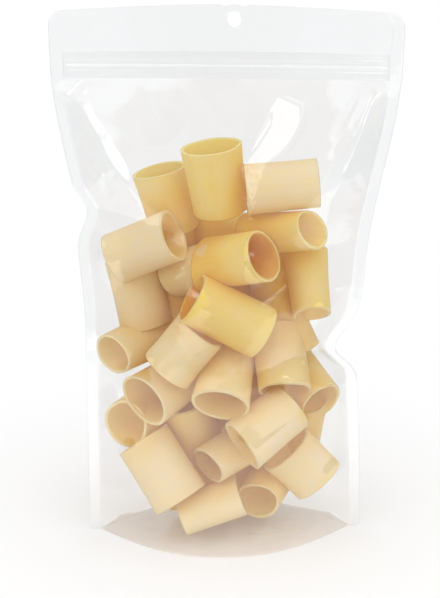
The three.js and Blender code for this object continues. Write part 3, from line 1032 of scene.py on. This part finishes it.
# Cards that only show as reflections in the film: name, place, target, width, height and
# radiance. The floor card lies in front of the pouch and makes its lower half pale. The
# two flags stand beside it, dimmer than the sky, and darken its edges.
CARDS = (
    ("left_card", (-1.1, -0.99, 0.76), (0, 0, 0.24), 0.42, 1.15, 4.1),
    ("right_card", (1.1, -0.96, 0.74), (0, 0, 0.25), 0.3, 1.0, 3.5),
    ("top_card", (0.496, -1.017, 1.224), (0, 0, 0.24), 0.36, 0.36, 3.0),
    ("floor_card", (0, -0.2, 0.001), (0, -0.2, 1), 1.6, 0.5, 2.3),
    ("left_flag", (-0.45, -0.1, 0.12), (0, -0.1, 0.12), 0.8, 0.3, 0.4),
    ("right_flag", (0.45, -0.1, 0.12), (0, -0.1, 0.12), 0.8, 0.3, 0.4),
)

AIM_X, AIM_Z = -0.003, 0.146  # what the camera looks at, in metres
LENS, SENSOR = 102, 36  # the camera's, in millimetres
LAMP_SPREAD, LAMP_TILT = math.radians(100), math.radians(28)
FLOOR_REACH = 6000.0  # from its middle to its edges


def make_stage(settings):
    """The sky, the camera, the floor, a soft overhead light and the cards.

    Light may bounce often, as it does between pale tubes, or the gaps there turn grey."""
    scene = bpy.context.scene
    scene.view_settings.view_transform = "Standard"
    scene.cycles.transparent_max_bounces = 32
    scene.cycles.diffuse_bounces, scene.cycles.max_bounces = 14, 24
    make_sky(scene, settings)
    make_camera(scene, settings)
    make_floor(settings)
    make_overhead_light(scene, settings)
    make_cards(scene, settings)


def make_sky(scene, settings):
    """A white sky whose strength goes from the horizon's to the zenith's within a fifth of its height."""
    world = bpy.data.worlds.new("studio")
    scene.world = world
    world.use_nodes = True
    sky = Shader.of_tree(world.node_tree)
    direction = sky.node("ShaderNodeTexCoord", output="Generated")
    height = sky.node("ShaderNodeSeparateXYZ", inputs={0: direction}, output="Z")
    glow = settings.horizon + (settings.zenith - settings.horizon) * sky.ramp(height, 0.0, 0.2)
    background = world.node_tree.nodes["Background"]
    world.node_tree.links.new(glow.socket, background.inputs["Strength"])
    background.inputs["Color"].default_value = (1, 1, 1, 1)


def make_camera(scene, settings):
    """A camera straight in front, at a set angle above the table and a set distance."""
    camera = bpy.data.objects.new("camera", bpy.data.cameras.new("camera"))
    scene.collection.objects.link(camera)
    rise, distance = settings.elevation, settings.distance
    camera.location = (AIM_X, -distance * math.cos(rise), AIM_Z + distance * math.sin(rise))
    camera.rotation_euler = (math.pi / 2 - rise, 0, 0)
    camera.data.lens, camera.data.sensor_width = LENS, SENSOR
    scene.camera = camera


def make_floor(settings):
    """A wide matt square at table height."""
    shader = Shader("white_floor")
    surface = shader.node("ShaderNodeBsdfDiffuse", inputs={"Color": opaque(settings.floor)}, output="BSDF")
    corners = [(FLOOR_REACH * a, FLOOR_REACH * b, 0) for a, b in ((-1, -1), (1, -1), (1, 1), (-1, 1))]
    add_mesh("floor", corners, [(0, 1, 2, 3)], shader.finish(surface))


def make_overhead_light(scene, settings):
    """A very wide sun from above and a little to the front, which doesn't show as a reflection."""
    lamp = bpy.data.lights.new("overhead", "SUN")
    lamp.angle, lamp.energy = LAMP_SPREAD, settings.key
    light = bpy.data.objects.new("overhead", lamp)
    light.rotation_euler = (LAMP_TILT, 0, 0)
    light.visible_glossy = False
    scene.collection.objects.link(light)


def make_cards(scene, settings):
    """The cards, which light the film and the zip alone. Those are too clear to cast a shadow."""
    clear_pieces = bpy.data.collections.new("clear_pieces")
    for piece in scene.objects:
        if piece.name.startswith(("film", "zip")):
            clear_pieces.objects.link(piece)
            piece.visible_shadow = False
    for name, place, target, wide, high, radiance in CARDS:
        card = make_card(name, place, target, wide, high, radiance * settings.sheen)
        card.light_linking.receiver_collection = clear_pieces


def make_card(name, place, target, wide, high, radiance):
    """A glowing rectangle turned to a target, clear towards its edges, that shows to glossy rays alone."""
    shader = Shader(name)
    fade = (1 - shader.attribute("across") ** 4) * (1 - shader.attribute("up") ** 4)
    emission = shader.node("ShaderNodeEmission", inputs={"Strength": radiance})
    clear = shader.node("ShaderNodeBsdfTransparent")
    emission = shader.node("ShaderNodeMixShader", inputs={0: fade, 1: clear, 2: emission})
    turn = (Vector(place) - Vector(target)).to_track_quat("Z", "Y")
    ends = np.array([(-1, -1), (1, -1), (1, 1), (-1, 1)])
    corners = [Vector(place) + turn @ Vector((wide / 2 * a, high / 2 * b, 0)) for a, b in ends.tolist()]
    attributes = {"across": ends[:, 0], "up": ends[:, 1]}
    card = add_mesh(name, np.array(corners) / MM, [(0, 1, 2, 3)], shader.finish(emission), attributes)
    card.visible_camera = card.visible_diffuse = card.visible_transmission = card.visible_shadow = False
    return card


# ---- Settings, operators and panel ----


def colour_setting(name, default, description):
    return FloatVectorProperty(name=name, description=description, subtype="COLOR", default=default)


def number_setting(name, default, description, unit="NONE"):
    return FloatProperty(name=name, description=description, default=default, unit=unit)


def whole_setting(name, default, description):
    return IntProperty(name=name, description=description, default=default)


class PastaSettings(PropertyGroup):
    """What a user may change about the pasta."""

    wall: number_setting("Wall", 0.0019, "How thick the pasta is", "LENGTH")
    hidden: whole_setting("Hidden Tubes", 10, "How many tubes lie behind the front ones")
    seed: whole_setting("Seed", 14, "Which random sizes and turns are drawn")
    colour: colour_setting("Colour", (0.91, 0.725, 0.15), "The deeper durum yellow")
    pale: colour_setting("Pale", (0.875, 0.785, 0.59), "The paler durum yellow")
    streak: colour_setting("Streak", (0.96, 0.74, 0.32), "Lighter streaks along a tube")
    flour: colour_setting("Flour", (0.95, 0.84, 0.6), "Floury flecks and rims")
    # The insides' colours are painted light and shade: brighter or deeper than the outsides, for the light
    # that falls into a tube and bounces there.
    painted_inside_deep: colour_setting("Inside Deep", (0.88, 0.52, 0.05), "The deepest tube's inside")
    inside: colour_setting("Inside", (0.98, 0.95, 0.32), "A yellow tube's inside")
    painted_inside_pale: colour_setting("Inside Pale", (0.93, 0.8, 0.4), "A pale tube's inside")
    # Painted shade: the warm colour multiplied in where tubes lie close and deep inside them.
    shade: colour_setting("Shade", (0.98, 0.8, 0.35), "What light between close tubes is tinted by")
    core: colour_setting("Core", (0.98, 0.96, 0.9), "What light inside the wall meets")


class FilmSettings(PropertyGroup):
    """What a user may change about the film."""

    film: number_setting("Film", 0.00015, "How thick the film is", "LENGTH")
    sag: number_setting("Sag", 0.0012, "How far the film sinks in between the tubes", "LENGTH")
    crumple: number_setting("Crumple", 0.00025, "How high the film's small facets are", "LENGTH")
    reflect: number_setting("Reflect", 0.042, "Mirrored share of light seen straight on")
    roughness: number_setting("Roughness", 0.08, "How blurred the reflections are")
    haze: number_setting("Haze", 0.006, "Share of light the film scatters")
    tint: colour_setting("Tint", (0.98, 0.98, 0.98), "Colour of the light let through")
    base_haze: number_setting("Base Haze", 0.1, "Share of light the base scatters")
    # Partly the film's own tint, partly painted shade: darker and warmer than the panels' tint, it stands in
    # for the shade and warm bounced light under the pouch.
    base_tint_and_painted_shade: colour_setting("Base Tint", (0.915, 0.885, 0.85), "Colour of the light the base lets through")


class ZipSettings(PropertyGroup):
    """What a user may change about the zip."""

    haze: number_setting("Haze", 0.012, "Share of light the strips scatter")
    tint: colour_setting("Tint", (0.995, 0.995, 0.995), "Colour of the light let through")


class StageSettings(PropertyGroup):
    """What a user may change about the studio."""

    elevation: number_setting("Elevation", math.radians(16.3), "Camera's angle above the table", "ROTATION")
    distance: number_setting("Distance", 1.0, "From the camera to the pouch", "LENGTH")
    horizon: number_setting("Horizon", 0.85, "Light from all round, low down")
    zenith: number_setting("Zenith", 0.7, "Light from straight above")
    key: number_setting("Overhead", 1.42, "Strength of the soft light from above")
    sheen: number_setting("Sheen", 1.0, "Strength of the cards that only show as reflections")
    floor: colour_setting("Floor", (0.925, 0.93, 0.938), "The floor's colour")


class POUCH_OT_pasta(Operator):
    """Makes the pasta tubes"""

    bl_idname = "pouch.pasta"
    bl_label = "Pasta Tubes"

    def execute(self, context):
        settings = context.scene.pouch_pasta
        make_pasta(settings, pasta_material(settings))
        return {"FINISHED"}


class POUCH_OT_film(Operator):
    """Makes the front and back panels and the base of clear film"""

    bl_idname = "pouch.film"
    bl_label = "Film"

    def execute(self, context):
        settings, pasta = context.scene.pouch_film, context.scene.pouch_pasta
        tubes = packed_tubes(pasta.hidden, pasta.seed)
        material = film_material(settings, "clear_film", settings.haze, settings.tint)
        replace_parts(make_panel(-1, tubes, settings, material), "pouch")
        make_panel(1, tubes, settings, material)
        # The base's darker, warmer tint is partly painted shade under the pouch.
        make_base(settings, film_material(settings, "base_film", settings.base_haze, settings.base_tint_and_painted_shade))
        return {"FINISHED"}


class POUCH_OT_zip(Operator):
    """Makes the two strips of the press-to-close zip"""

    bl_idname = "pouch.zip"
    bl_label = "Zip"

    def execute(self, context):
        settings, strips = context.scene.pouch_film, context.scene.pouch_zip
        material = film_material(settings, "clear_zip", strips.haze, strips.tint)
        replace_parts(make_zip_strip(-1, material), "zip")
        make_zip_strip(1, material)
        return {"FINISHED"}


class POUCH_OT_stage(Operator):
    """Sets up the floor, the camera and the lights"""

    bl_idname = "pouch.stage"
    bl_label = "Studio"

    def execute(self, context):
        make_stage(context.scene.pouch_stage)
        return {"FINISHED"}


class POUCH_PT_sidebar(Panel):
    """Lists the pouch's pieces"""

    bl_idname = "POUCH_PT_sidebar"
    bl_label = "Filled Pouch"
    bl_space_type = "VIEW_3D"
    bl_region_type = "UI"
    bl_category = "Pouch"

    def draw(self, context):
        for operator, name, _ in STEPS:
            box = self.layout.box()
            box.operator(operator.bl_idname)
            group = getattr(context.scene, name)
            for setting in group.__annotations__:
                box.prop(group, setting)


STEPS = (
    (POUCH_OT_pasta, "pouch_pasta", PastaSettings),
    (POUCH_OT_film, "pouch_film", FilmSettings),
    (POUCH_OT_zip, "pouch_zip", ZipSettings),
    (POUCH_OT_stage, "pouch_stage", StageSettings),
)


def register():
    """Registers each step's settings and operator, and the panel."""
    for operator, name, group in STEPS:
        bpy.utils.register_class(group)
        setattr(bpy.types.Scene, name, PointerProperty(type=group))
        bpy.utils.register_class(operator)
    bpy.utils.register_class(POUCH_PT_sidebar)


def unregister():
    """Takes away what register adds."""
    bpy.utils.unregister_class(POUCH_PT_sidebar)
    for operator, name, group in STEPS:
        bpy.utils.unregister_class(operator)
        delattr(bpy.types.Scene, name)
        bpy.utils.unregister_class(group)


def main():
    """Makes every piece and the stage."""
    register()
    for operator, _, _ in STEPS:
        module, name = operator.bl_idname.split(".")
        getattr(getattr(bpy.ops, module), name)()


if __name__ == "__main__":
    main()
